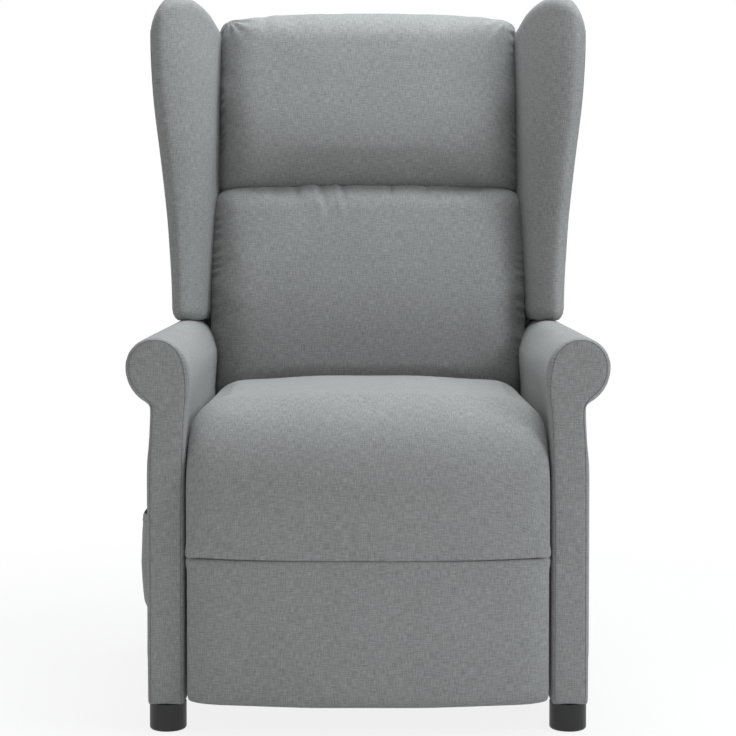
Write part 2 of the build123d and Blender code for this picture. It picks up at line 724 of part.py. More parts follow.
def handset_parts():
    parts = {}
    inner_x = -(arm_outer_x + soft_gap)
    outer_x = inner_x - handset_thick
    split_x = (inner_x + outer_x) / 2
    half = handset_width / 2
    span_d = (pocket_d - half, pocket_d + half)
    span_z = (handset_low_z, handset_low_z + handset_length)
    body = box((outer_x, inner_x), span_d, span_z)
    body = fillet(body.edges().filter_by(Axis.X), handset_corner)
    body = fillet(body.faces().sort_by(Axis.X)[0].edges(), handset_wall)
    wall = handset_wall
    room_d = (span_d[0] + wall, span_d[1] - wall)
    room_z = (span_z[0] + wall, span_z[1] - wall)
    room = box((outer_x + wall, inner_x - wall), room_d, room_z)
    room = fillet(room.edges().filter_by(Axis.X), handset_corner - wall)
    shell = body - room
    half_space = Pos(split_x, 0, 0) * Box(cut_size, cut_size, cut_size, align=(Align.MIN, Align.CENTER, Align.CENTER))
    parts["handset_back_shell"] = shell & half_space
    front = shell - half_space
    board_face = inner_x - wall - circuit_thick
    circuit = box((board_face, inner_x - wall), (room_d[0] + button_clear, room_d[1] - button_clear),
                  (room_z[0] + button_clear, room_z[1] - button_clear))
    parts["handset_circuit_board"] = fillet(circuit.edges().filter_by(Axis.X), handset_corner - wall)
    for name, drop in zip(button_names, button_drop):
        z = span_z[1] - drop
        front -= x_pin(button_radius + button_clear, outer_x, outer_x + wall, pocket_d, z)
        button = x_pin(button_radius, outer_x - button_stand, outer_x + wall, pocket_d, z)
        flange_end = outer_x + wall + button_flange_thick
        button += x_pin(button_radius + button_flange, outer_x + wall, flange_end, pocket_d, z)
        button += x_pin(button_post_radius, flange_end, board_face - button_travel - button_post_gap, pocket_d, z)
        parts[name] = button
    parts["handset_front_shell"] = front
    return parts


def build():
    parts = base_parts()
    parts["side_pocket"] = pocket_solid()
    parts.update(seat_parts())
    parts.update(back_parts())
    parts.update(footrest_parts())
    parts.update(handset_parts())
    return parts


os.makedirs("parts", exist_ok=True)
for node, shape in build().items():
    shape.label = node
    export_step(shape, f"parts/{node}.step")
    print(node, len(shape.solids()), round(shape.volume / 1000, 1), "cm3")
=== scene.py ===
import json
from math import cos, pi, radians, sin, sqrt

import bpy
import numpy as np
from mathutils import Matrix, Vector


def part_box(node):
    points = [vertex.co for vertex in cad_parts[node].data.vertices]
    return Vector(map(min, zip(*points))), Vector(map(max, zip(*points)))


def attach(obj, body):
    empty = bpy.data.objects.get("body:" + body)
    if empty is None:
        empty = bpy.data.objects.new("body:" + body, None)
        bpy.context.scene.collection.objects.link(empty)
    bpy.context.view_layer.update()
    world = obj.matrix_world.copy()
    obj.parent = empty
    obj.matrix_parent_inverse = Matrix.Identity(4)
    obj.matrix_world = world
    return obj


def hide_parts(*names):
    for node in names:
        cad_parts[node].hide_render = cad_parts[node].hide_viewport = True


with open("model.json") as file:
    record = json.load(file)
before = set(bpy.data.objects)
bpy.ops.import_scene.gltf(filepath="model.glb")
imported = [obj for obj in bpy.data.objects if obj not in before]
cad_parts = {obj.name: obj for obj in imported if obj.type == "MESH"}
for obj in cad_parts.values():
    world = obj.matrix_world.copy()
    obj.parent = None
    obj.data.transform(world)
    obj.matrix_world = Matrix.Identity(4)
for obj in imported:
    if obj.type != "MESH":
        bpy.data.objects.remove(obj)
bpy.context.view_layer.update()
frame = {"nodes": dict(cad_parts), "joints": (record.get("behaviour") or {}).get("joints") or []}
nodes = frame["nodes"]
scene = bpy.context.scene
scene.view_settings.view_transform = "Standard"
print("frame loaded with", len(nodes), "nodes")

# Places that the pieces share, in metres: the front face of the arms and the recline pivot
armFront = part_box("arm_pad_left")[0].y
recline = next(joint for joint in frame["joints"] if joint["name"] == "back_recline")
pivotY = recline["pos_m"][1]
pivotZ = recline["pos_m"][2]
backLean = radians(12.0)
tiny = 1e-9   # keeps divisions clear of zero


def hexColour(code):
    # sRGB hex to the linear values that the shader sockets take
    parts = [int(code[i:i + 2], 16) / 255 for i in (1, 3, 5)]
    linear = [p / 12.92 if p <= 0.04045 else ((p + 0.055) / 1.055) ** 2.4 for p in parts]
    return (*linear, 1.0)


def addNode(tree, kind, settings=None, inputs=None):
    # One node with its settings; an input is a value or another node's output
    node = tree.nodes.new(kind)
    for key, value in (settings or {}).items():
        setattr(node, key, value)
    for key, value in (inputs or {}).items():
        if isinstance(value, bpy.types.NodeSocket):
            tree.links.new(value, node.inputs[key])
        else:
            node.inputs[key].default_value = value
    return node


def emptyMaterial(name):
    material = bpy.data.materials.new(name)
    material.use_nodes = True
    tree = material.node_tree
    tree.nodes.clear()
    return material, tree


def closeMaterial(tree, shader):
    addNode(tree, "ShaderNodeOutputMaterial", {}, {"Surface": shader.outputs[0]})


# Linen-look woven polyester: thick and thin yarns in two directions, matt with a soft sheen
linenLook = {
    "darkYarn": "#868786", "lightYarn": "#a8a9a8", "threadMm": 1.4, "slubMm": 13.0, "yarnDetail": 1.5,
    "yarnRoughness": 0.5, "weftLayer": 9.0, "patchMm": 90.0, "patchDetail": 2.0, "patchShare": 0.16,
    "toneRange": (0.68, 1.32), "bumpMm": 0.45, "bumpStrength": 0.55, "roughness": 0.92, "sheen": 0.12,
    "sheenRoughness": 0.45, "specular": 0.25,
}


def wovenLinen(name, look, overEdge=False):
    material, tree = emptyMaterial(name)
    place = addNode(tree, "ShaderNodeTexCoord")
    split = addNode(tree, "ShaderNodeSeparateXYZ", {}, {0: place.outputs["Object"]})
    # A face takes its threads from the two axes that it lies along
    facing = addNode(tree, "ShaderNodeVectorMath", {"operation": "ABSOLUTE"}, {0: place.outputs["Normal"]})
    face = addNode(tree, "ShaderNodeSeparateXYZ", {}, {0: facing.outputs[0]})
    yzMost = addNode(tree, "ShaderNodeMath", {"operation": "MAXIMUM"},
                     {0: face.outputs[1], 1: face.outputs[2]})
    xyMost = addNode(tree, "ShaderNodeMath", {"operation": "MAXIMUM"},
                     {0: face.outputs[0], 1: face.outputs[1]})
    isSide = addNode(tree, "ShaderNodeMath", {"operation": "GREATER_THAN"},
                     {0: face.outputs[0], 1: yzMost.outputs[0]})
    isFlat = addNode(tree, "ShaderNodeMath", {"operation": "GREATER_THAN"},
                     {0: face.outputs[2], 1: xyMost.outputs[0]})
    across = addNode(tree, "ShaderNodeMix", {"data_type": "FLOAT"},
                     {0: isSide.outputs[0], 2: split.outputs[0], 3: split.outputs[1]})
    along = addNode(tree, "ShaderNodeMix", {"data_type": "FLOAT"},
                    {0: isFlat.outputs[0], 2: split.outputs[2], 3: split.outputs[1]})
    if overEdge:   # the cloth runs up the front and on over the top, so its threads are counted along both
        run = addNode(tree, "ShaderNodeMath", {"operation": "ADD"},
                      {0: split.outputs[1], 1: split.outputs[2]})
        along = addNode(tree, "ShaderNodeMix", {"data_type": "FLOAT"},
                        {0: isSide.outputs[0], 2: run.outputs[0], 3: split.outputs[2]})
    perThread = 1000 / look["threadMm"]
    perSlub = 1000 / look["slubMm"]
    yarns = []
    warp = (perSlub, perThread, 0.0)
    weft = (perThread, perSlub, look["weftLayer"])
    for acrossScale, alongScale, layer in (warp, weft):
        u = addNode(tree, "ShaderNodeMath", {"operation": "MULTIPLY"}, {0: across.outputs[0], 1: acrossScale})
        v = addNode(tree, "ShaderNodeMath", {"operation": "MULTIPLY"}, {0: along.outputs[0], 1: alongScale})
        spot = addNode(tree, "ShaderNodeCombineXYZ", {}, {0: u.outputs[0], 1: v.outputs[0], 2: layer})
        yarns.append(addNode(tree, "ShaderNodeTexNoise", {}, {
            "Vector": spot.outputs[0], "Scale": 1.0, "Detail": look["yarnDetail"],
            "Roughness": look["yarnRoughness"]}))
    weave = addNode(tree, "ShaderNodeMath", {"operation": "ADD"},
                    {0: yarns[0].outputs[0], 1: yarns[1].outputs[0]})
    # Wide patches drift a little in tone, as dyed cloth does
    patch = addNode(tree, "ShaderNodeTexNoise", {}, {
        "Vector": place.outputs["Object"], "Scale": 1000 / look["patchMm"], "Detail": look["patchDetail"]})
    drift = addNode(tree, "ShaderNodeMath", {"operation": "MULTIPLY_ADD"},
                    {0: patch.outputs[0], 1: look["patchShare"], 2: -look["patchShare"] / 2})
    tone = addNode(tree, "ShaderNodeMath", {"operation": "ADD"}, {0: weave.outputs[0], 1: drift.outputs[0]})
    lowTone, highTone = look["toneRange"]
    shade = addNode(tree, "ShaderNodeMapRange", {},
                    {0: tone.outputs[0], 1: lowTone, 2: highTone, 3: 0.0, 4: 1.0})
    colour = addNode(tree, "ShaderNodeMix", {"data_type": "RGBA"},
                     {0: shade.outputs[0], 6: hexColour(look["darkYarn"]), 7: hexColour(look["lightYarn"])})
    bump = addNode(tree, "ShaderNodeBump", {}, {
        "Height": weave.outputs[0], "Strength": look["bumpStrength"], "Distance": look["bumpMm"] / 1000})
    shader = addNode(tree, "ShaderNodeBsdfPrincipled", {}, {
        "Base Color": colour.outputs[2], "Roughness": look["roughness"], "Normal": bump.outputs[0],
        "Sheen Weight": look["sheen"], "Sheen Roughness": look["sheenRoughness"],
        "Specular IOR Level": look["specular"]})
    closeMaterial(tree, shader)
    return material


fabric = wovenLinen("woven_linen_look_polyester", linenLook)
fabricOver = wovenLinen("woven_linen_look_polyester_over_edge", linenLook, True)

grainLook = {"detail": 3.0, "roughness": 0.55, "range": (0.3, 0.7), "glossSpread": 0.06, "bumpStrength": 0.4}


def grainedSurface(name, dark, light, grainMm, roughness, bumpMm, metallic=0.0, stretch=(1, 1, 1)):
    # Moulded, painted, planed or woven finish: colour, roughness and bump from one grain at a real size
    look = grainLook
    material, tree = emptyMaterial(name)
    place = addNode(tree, "ShaderNodeTexCoord")
    scaled = addNode(tree, "ShaderNodeVectorMath", {"operation": "MULTIPLY"},
                     {0: place.outputs["Object"], 1: stretch})
    grain = addNode(tree, "ShaderNodeTexNoise", {}, {
        "Vector": scaled.outputs[0], "Scale": 1000 / grainMm, "Detail": look["detail"],
        "Roughness": look["roughness"]})
    colour = addNode(tree, "ShaderNodeMix", {"data_type": "RGBA"},
                     {0: grain.outputs[0], 6: hexColour(dark), 7: hexColour(light)})
    gloss = addNode(tree, "ShaderNodeMapRange", {}, {
        0: grain.outputs[0], 1: look["range"][0], 2: look["range"][1], 3: roughness - look["glossSpread"],
        4: roughness + look["glossSpread"]})
    bump = addNode(tree, "ShaderNodeBump", {}, {
        "Height": grain.outputs[0], "Strength": look["bumpStrength"], "Distance": bumpMm / 1000})
    shader = addNode(tree, "ShaderNodeBsdfPrincipled", {}, {
        "Base Color": colour.outputs[2], "Roughness": gloss.outputs[0], "Metallic": metallic,
        "Normal": bump.outputs[0]})
    closeMaterial(tree, shader)
    return material


# Seam cord, darker than the cloth: its colour is painted shade of the seam's groove, so that seams read as
# thin lines
seamShadeCord = grainedSurface("seam_cord_painted_groove_shade", "#6c7071", "#818585", 0.8, 0.8, 0.1)
# Near-black plastic of the feet, the control box and the motor pods, with a fine moulded grain
blackPlastic = grainedSurface("moulded_black_polypropylene", "#101011", "#1d1d1e", 0.9, 0.45, 0.12)
# Pale timber with its grain drawn out along the boards
planedWood = grainedSurface("planed_pine_timber", "#9a7a52", "#c9a877", 9.0, 0.62, 0.15,
                            stretch=(0.06, 1, 1))
# Black paint of the linkage and its brackets, half matt and slightly pebbled
blackSteel = grainedSurface("powder_coated_steel", "#17181a", "#26272a", 1.2, 0.42, 0.06)
# Bright plated bolts, pins and springs that catch the light
zincSteel = grainedSurface("zinc_plated_steel", "#8f9294", "#b9bcbe", 2.5, 0.32, 0.03, metallic=1.0)
# Dark handset shell, a little smoother and greyer than the feet
handsetAbs = grainedSurface("moulded_abs_handset", "#1d1e20", "#2b2c2f", 0.7, 0.5, 0.05)
# Mid-grey keys that stand out from the shell
buttonRubber = grainedSurface("silicone_rubber_keys", "#6a6e70", "#7c8082", 0.8, 0.6, 0.05)
# Matt black bands with a ribbed weave
blackWebbing = grainedSurface("woven_black_webbing", "#161617", "#2a2a2b", 1.6, 0.85, 0.3,
                              stretch=(0.2, 1, 1))
# Deep green lacquer of the handset's board
greenBoard = grainedSurface("green_circuit_board", "#0d3a1c", "#155329", 3.0, 0.4, 0.03)

solidFinishes = (
    (blackPlastic, ("foot_front_left", "foot_front_right", "foot_rear_left", "foot_rear_right",
                    "massage_control_box", "seat_massage_pods", "back_massage_pods")),
    (handsetAbs, ("handset_front_shell", "handset_back_shell")),
    (greenBoard, ("handset_circuit_board",)),
    (buttonRubber, ("power_button", "zone_button", "strength_button", "heat_button")),
    (blackWebbing, ("back_straps", "heat_pad")),
    (planedWood, ("arm_board_left", "arm_board_right", "seat_front_rail", "seat_side_rail_left",
                  "seat_side_rail_right", "wing_board_left", "wing_board_right")),
    # Timbers that show at the rear and below are covered in the same cloth
    (fabric, ("base_front_rail", "base_rear_rail", "seat_rear_rail", "back_stile_left", "back_stile_right",
              "back_rails", "footrest_board")),
    (blackSteel, ("mechanism_plate_left", "mechanism_plate_right", "seat_bracket_left", "seat_bracket_right",
                  "back_brackets", "drive_link_left", "drive_link_right", "guide_link_left",
                  "guide_link_right", "mid_link_left", "mid_link_right", "footrest_brackets", "torque_tube",
                  "cross_bar")),
    (zincSteel, ("rail_bolts", "foot_studs", "seat_springs", "glide_rollers", "pivot_pins", "link_pins")),
)
for finish, names in solidFinishes:
    for name in names:
        nodes[name].data.materials.clear()
        nodes[name].data.materials.append(finish)
print("materials made")


def makePiece(name, points, faces, material, body):
    mesh = bpy.data.meshes.new(name)
    mesh.from_pydata([tuple(p) for p in points], [], [tuple(f) for f in faces])
    mesh.update()
    mesh.polygons.foreach_set("use_smooth", [True] * len(mesh.polygons))
    piece = bpy.data.objects.new(name, mesh)
    scene.collection.objects.link(piece)
    mesh.materials.append(material)
    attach(piece, body)
    return piece


def tubeFaces(ringCount, count, leftHand=True):
    # Quads between rings of points and a cap at each end; a mirrored piece has its faces the other way round
    faces = []
    for ring in range(ringCount - 1):
        here = ring * count
        after = here + count
        for i in range(count):
            j = (i + 1) % count
            faces.append((here + i, here + j, after + j, after + i))
    faces.append(tuple(range(count))[::-1])
    faces.append(tuple(range((ringCount - 1) * count, ringCount * count)))
    return faces if leftHand else [face[::-1] for face in faces]


def getPoints(mesh):
    flat = np.zeros(len(mesh.vertices) * 3)
    mesh.vertices.foreach_get("co", flat)
    return flat.reshape(-1, 3)


def setPoints(mesh, points):
    mesh.vertices.foreach_set("co", np.asarray(points, float).ravel())
    mesh.update()


def bakeModifiers(piece):
    # Replaces the mesh by its evaluated form and leaves no modifier on the piece
    graph = bpy.context.evaluated_depsgraph_get()
    done = bpy.data.meshes.new_from_object(piece.evaluated_get(graph))
    old = piece.data
    piece.modifiers.clear()
    piece.data = done
    bpy.data.meshes.remove(old)
    piece.data.polygons.foreach_set("use_smooth", [True] * len(piece.data.polygons))


def addSmooth(piece, rounds):
    smooth = piece.modifiers.new("smooth", "SMOOTH")
    smooth.factor = 0.5
    smooth.iterations = rounds


clothLook = {"stretch": 12, "bending": 0.6, "quality": 4}


def puffed(piece, look, mayMove):
    # Cloth with inner pressure; each point moves at most the cap, times its own share of freedom
    start = getPoints(piece.data)
    cloth = piece.modifiers.new("cloth", "CLOTH")
    cloth.settings.use_pressure = True
    cloth.settings.uniform_pressure_force = look["pressure"]
    cloth.settings.effector_weights.gravity = 0
    cloth.settings.tension_stiffness = clothLook["stretch"]
    cloth.settings.compression_stiffness = clothLook["stretch"]
    cloth.settings.bending_stiffness = clothLook["bending"]
    cloth.settings.quality = clothLook["quality"]
    cloth.point_cache.frame_end = look["steps"]
    for step in range(1, look["steps"] + 1):
        scene.frame_set(step)
    bakeModifiers(piece)
    scene.frame_set(1)
    moved = getPoints(piece.data) - start
    reach = np.linalg.norm(moved, axis=1, keepdims=True)
    cap = look["capMm"] / 1000 * mayMove(start)[:, None]
    setPoints(piece.data, start + moved * np.minimum(1.0, cap / np.maximum(reach, tiny)))


def refine(piece):
    fine = piece.modifiers.new("fine", "SUBSURF")
    fine.levels = 1
    fine.render_levels = 1
    bakeModifiers(piece)


def fromNode(name, node, body, look, cloth):
    # A soft piece that starts from its solid's mesh, made even and smoothed
    mesh = nodes[node].data.copy()
    mesh.name = name
    piece = bpy.data.objects.new(name, mesh)
    scene.collection.objects.link(piece)
    remesh = piece.modifiers.new("remesh", "REMESH")
    remesh.mode = "VOXEL"
    remesh.voxel_size = look["voxelMm"] / 1000
    addSmooth(piece, look["smooth"])
    bakeModifiers(piece)
    piece.data.materials.clear()
    piece.data.materials.append(cloth)
    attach(piece, body)
    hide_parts(node)
    return piece


def toChair(x, p, q):
    # From the back's own frame (p forwards negative, q up) to the chair's
    y = pivotY + p * cos(backLean) + q * sin(backLean)
    z = pivotZ - p * sin(backLean) + q * cos(backLean)
    return (x, y, z)


def toBack(points):
    dy = points[:, 1] - pivotY
    dz = points[:, 2] - pivotZ
    p = dy * cos(backLean) - dz * sin(backLean)
    q = dy * sin(backLean) + dz * cos(backLean)
    return points[:, 0], p, q


def smoothStep(low, high, value):
    t = np.clip((value - low) / (high - low), 0, 1)
    return t * t * (3 - 2 * t)


def squareCorner(points, cornerX, cornerZ, upward, radius, sharp):
    # Pulls a round corner, seen from the front, out towards a square one on both sides of the chair
    dx = np.abs(points[:, 0]) - (cornerX - radius)
    dz = upward * (points[:, 2] - cornerZ) + radius
    inside = (dx > 0) & (dz > 0)
    reach = np.sqrt(dx ** 2 + dz ** 2) + tiny
    grow = ((np.abs(dx) / reach) ** sharp + (np.abs(dz) / reach) ** sharp) ** (-1 / sharp)
    points[:, 0] += np.where(inside, np.sign(points[:, 0]) * dx * (grow - 1), 0)
    points[:, 2] += np.where(inside, upward * dz * (grow - 1), 0)


# The front face is found in bins across the chair; depth is how far behind it the work may reach, in metres
frontEdge = {
    "depth": 0.06, "halfSpan": 0.4, "bin": 0.02, "bins": 40, "rows": 2.5, "edgeX": 0.3, "endFade": 0.022,
}


def squareFront(points, edgeZ, upward, radius, sharp):
    # Squares up the front edge along a seam, so that the covers on both sides of it close the joint
    look = frontEdge
    fromEdge = upward * (edgeZ - points[:, 2])
    near = (fromEdge > radius) & (fromEdge < look["rows"] * radius)
    rear = points[:, 1].min() + look["depth"]
    bins = ((points[:, 0] + look["halfSpan"]) / look["bin"]).astype(int)
    bins = np.clip(bins, 0, look["bins"] - 1)
    front = np.full(look["bins"], np.nan)
    for k in range(look["bins"]):
        row = near & (bins == k)
        if row.any():
            front[k] = points[row, 1].min()
    known = ~np.isnan(front)
    middles = (np.arange(look["bins"]) + 0.5) * look["bin"] - look["halfSpan"]
    face = np.interp(points[:, 0], middles[known], front[known])
    ahead = np.maximum(rear - points[:, 1], 0) + look["edgeX"] - (rear - face)
    flat = np.stack([ahead, points[:, 0], points[:, 2]], axis=1)
    before = flat.copy()
    squareCorner(flat, look["edgeX"], edgeZ, upward, radius, sharp)
    wide = np.abs(points[:, 0])
    share = smoothStep(0, look["endFade"], wide.max() - wide)   # round at the seam's ends
    points[:, 1] -= share * (flat[:, 0] - before[:, 0])
    points[:, 2] += share * (flat[:, 2] - before[:, 2])


# Bands are in metres: how far from an edge a change starts and ends
seatLook = {
    "voxelMm": 5.0, "smooth": 6, "pressure": 3.0, "capMm": 9.0, "steps": 14, "fill": 0.75,
    "topBand": (0.12, 0.03), "topShare": 0.45, "frontBand": 0.02, "frontShare": 0.7,
    "sewnBand": (0.012, 0.070), "sideBand": (0.03, 0.004), "cornerMm": 22.0, "cornerSharp": 3.4,
    "edgeMm": 12.0, "edgeSharp": 3.6, "dropMm": 2.0, "dropBehind": 0.06, "dropAbove": 0.05,
}


def makeSeat():
    look = seatLook
    piece = fromNode("seat_cushion_cover", "seat_cushion", "seat", look, fabricOver)
    low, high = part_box("seat_cushion")

    def mayMove(points):
        x, y, z = points.T
        top = smoothStep(low.z + look["topBand"][0], high.z - look["topBand"][1], z)
        front = smoothStep(armFront + look["frontBand"], armFront - look["frontBand"], y)
        sewn = look["sewnBand"]
        front *= smoothStep(low.z + sewn[0], low.z + sewn[1], z)   # sewn down along the lower edge
        side = 1 - smoothStep(high.x - look["sideBand"][0], high.x - look["sideBand"][1], np.abs(x))
        return np.maximum(look["topShare"] * top, look["frontShare"] * front) * side

    puffed(piece, look, mayMove)
    refine(piece)
    points = getPoints(piece.data)
    squareCorner(points, high.x, low.z, -1, look["cornerMm"] / 1000, look["cornerSharp"])
    squareFront(points, points[:, 2].min(), -1, look["edgeMm"] / 1000, look["edgeSharp"])
    ahead = smoothStep(armFront + look["dropBehind"], armFront, points[:, 1])
    ahead *= smoothStep(low.z + look["dropAbove"], low.z, points[:, 2])
    points[:, 2] -= look["dropMm"] / 1000 * ahead
    setPoints(piece.data, points)


footLook = {
    "voxelMm": 5.0, "smooth": 4, "fill": 0.6, "cornerMm": 22.0, "cornerSharp": 3.4, "edgeMm": 12.0,
    "edgeSharp": 3.6, "riseMm": 2.6, "riseBand": 0.04, "lowerMm": 6.6, "lowerBand": 0.09,
}


def makeFootrest():
    look = footLook
    piece = fromNode("footrest_cover", "footrest_pad", "footrest", look, fabric)
    low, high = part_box("footrest_pad")
    refine(piece)
    points = getPoints(piece.data)
    squareCorner(points, high.x, high.z, 1, look["cornerMm"] / 1000, look["cornerSharp"])
    squareFront(points, points[:, 2].max(), 1, look["edgeMm"] / 1000, look["edgeSharp"])
    points[:, 2] += look["riseMm"] / 1000 * smoothStep(high.z - look["riseBand"], high.z, points[:, 2])
    points[:, 2] -= look["lowerMm"] / 1000 * smoothStep(low.z + look["lowerBand"], low.z, points[:, 2])
    setPoints(piece.data, points)


# Both back cushions; places are in the back's own frame, in metres
backLook = {
    "voxelMm": 5.0, "smooth": 5, "pressure": 3.0, "capMm": 8.0, "steps": 12, "soften": 6, "fill": 0.7,
    "freeDepth": (-0.03, -0.08), "freeSide": (0.02, 0.002), "swellMm": 24.0, "swellEnd": 0.045,
    "swellSide": 0.075, "swellDepth": (-0.04, -0.07), "widen": 1.03, "waistLow": (0.20, 0.27),
    "waistTop": (0.38, 0.53), "frontDepth": 0.02, "sideReach": 0.070, "sideCurve": 2.4, "endReach": 0.060,
    "endCurve": 2.2, "roundLimit": 1.05, "bellySpread": 0.085, "cornerSharp": 3.2, "rippleMm": 0.7,
    "rippleStepMm": 21.0, "rippleDrift": ((2.6, 31), (1.7, 83)), "rippleFade": (0.6, 0.4, 23),
    "rippleBand": (0.010, 0.001), "foldStart": 0.016, "foldDepth": 1.8, "foldRise": 0.35,
    "foldRiseBand": 0.03, "pleatIn": 0.010, "pleatDown": 0.012, "pleatReach": 0.045, "pleatTurns": 11,
    "pleatStart": 0.7, "pleatPull": 0.6, "pleatBand": (0.05, 0.01),
}
# What differs between the two; growMm is for the lower and upper half, a pleat is a side and a depth in mm
headLook = {
    "topRoundMm": 10.0, "lowRoundMm": 4.0, "bellyMm": 10.0, "bellyUp": 0.060, "squareMm": 45.0,
    "growMm": (8.0, 3.6), "sideRoundMm": 20.0, "lowWiden": 0.0, "pleats": ((-1, 4.0), (1, 2.2)),
}
lumbarLook = {
    "topRoundMm": 22.0, "lowRoundMm": 8.0, "bellyMm": 4.0, "bellyUp": 0.15, "squareMm": 0.0,
    "growMm": (4.2, 11.5), "sideRoundMm": 13.0, "lowWiden": 0.022, "pleats": (),
}
# Gathers sewn in along a cushion: place across the chair, width, height (a groove is below zero) and length,
# in mm, and the slant
lumbarFolds = (
    (-128, 8, -2.2, 20, 0.10), (-113, 11, 1.6, 34, 0.22), (-98, 8, 2.4, 44, 0.24), (-86, 6, -2.2, 40, 0.24),
    (-58, 7, 2.2, 40, 0.18), (-48, 6, -2.0, 34, 0.18), (40, 4.5, -2.0, 12, 0.0), (104, 5, -1.6, 10, 0.0),
    (-200, 14, -1.5, 40, -0.3), (190, 14, -1.5, 40, 0.3), (-20, 16, 0.8, 30, 0.0), (70, 18, 0.8, 26, 0.0),
)
headFolds = (
    (-190, 9, -1.5, 22, 0.2), (-168, 10, 1.2, 20, 0.2), (-60, 22, -0.9, 28, 0.0), (85, 20, -1.0, 30, 0.0),
    (182, 9, -1.0, 20, -0.2),
)


def makeBackCushion(name, node, folds, own):
    look = backLook
    piece = fromNode(name, node, "back", look, fabric)
    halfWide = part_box(node)[1].x
    x, p, q = toBack(getPoints(piece.data))
    lowQ = q.min()
    highQ = q.max()
    frontP = p.min()
    tall = (highQ - lowQ) / 2
    middle = (lowQ + highQ) / 2

    def mayMove(points):
        pointX, pointP, pointQ = toBack(points)
        sideStart, sideEnd = look["freeSide"]
        side = 1 - smoothStep(halfWide - sideStart, halfWide - sideEnd, np.abs(pointX))
        return smoothStep(*look["freeDepth"], pointP) * side

    # The filling swells the front into one even curve from seam to seam
    curve = frontP + look["swellMm"] / 1000 * ((q - middle) / tall) ** 2
    inside = smoothStep(tall, tall - look["swellEnd"], np.abs(q - middle))
    inside *= smoothStep(halfWide, halfWide - look["swellSide"], np.abs(x))
    p = p + (curve - p) * inside * smoothStep(*look["swellDepth"], p)
    setPoints(piece.data, np.stack(toChair(x, p, q), axis=1))
    puffed(piece, look, mayMove)
    addSmooth(piece, look["soften"])
    bakeModifiers(piece)
    refine(piece)

    # Width, height and the rounding towards the seams
    x, p, q = toBack(getPoints(piece.data))
    waist = smoothStep(*look["waistLow"], q) * (1 - smoothStep(*look["waistTop"], q))
    x = x * (look["widen"] + own["lowWiden"] * waist)
    growLow, growTop = own["growMm"]
    q = q + np.where(q > middle, growTop, growLow) / 1000 * (q - middle) / tall
    ahead = smoothStep(0.0, frontP + look["frontDepth"], p)
    side = (np.abs(x) - (halfWide - look["sideReach"])) / look["sideReach"]
    side = np.clip(side, 0, look["roundLimit"])
    ends = (np.abs(q - middle) - (tall - look["endReach"])) / look["endReach"]
    ends = np.clip(ends, 0, look["roundLimit"])
    endRound = np.where(q > middle, own["topRoundMm"], own["lowRoundMm"]) / 1000
    belly = np.exp(-((q - lowQ - own["bellyUp"]) / look["bellySpread"]) ** 2) * (1 - side ** 2)
    sideRound = own["sideRoundMm"] / 1000 * side ** look["sideCurve"]
    p = p + ahead * (sideRound + endRound * ends ** look["endCurve"] - own["bellyMm"] / 1000 * belly)

    # The cover puckers a little where it is sewn in beside the wings
    phase = 2 * pi * q / (look["rippleStepMm"] / 1000) + np.sign(x)
    for swing, rate in look["rippleDrift"]:
        phase = phase + swing * np.sin(rate * q)
    steady, varied, rate = look["rippleFade"]
    ripple = look["rippleMm"] / 1000 * np.sin(phase) * (steady + varied * np.sin(rate * q + np.sign(x)))
    bandStart, bandEnd = look["rippleBand"]
    sewn = smoothStep(halfWide - bandStart, halfWide - bandEnd, np.abs(x))
    x = x - np.sign(x) * ripple * sewn
    p = p + ahead * ripple * sewn
    if own["squareMm"] > 0:
        flat = np.stack([x, p, q], axis=1)
        squareCorner(flat, np.abs(x).max(), q.max(), 1, own["squareMm"] / 1000, look["cornerSharp"])
        x, p, q = flat.T

    below = highQ - q
    for place, width, height, length, slant in folds:
        across = x - place / 1000 - slant * below
        fade = np.exp(-(np.maximum(below - look["foldStart"], 0) / (length / 1000)) ** 2)
        fold = height / 1000 * np.exp(-(across / (width / 1000)) ** 2) * fade
        p = p - ahead * look["foldDepth"] * fold
        q = q + look["foldRise"] * fold * smoothStep(look["foldRiseBand"], 0.0, below)
    for sign, depth in own["pleats"]:
        # Pleats that run out of an upper corner, where the cover is gathered round it
        dx = sign * x - (halfWide - look["pleatIn"])
        dq = q - (highQ - look["pleatDown"])
        reach = np.sqrt(dx ** 2 + dq ** 2)
        turn = look["pleatTurns"] * np.arctan2(dq, dx) + look["pleatStart"] * sign
        pleat = depth / 1000 * np.exp(-(reach / look["pleatReach"]) ** 2) * (0.5 + 0.5 * np.cos(turn))
        p = p + ahead * pleat
        q = q - look["pleatPull"] * pleat * smoothStep(*look["pleatBand"], np.abs(dq))
    setPoints(piece.data, np.stack(toChair(x, p, q), axis=1))


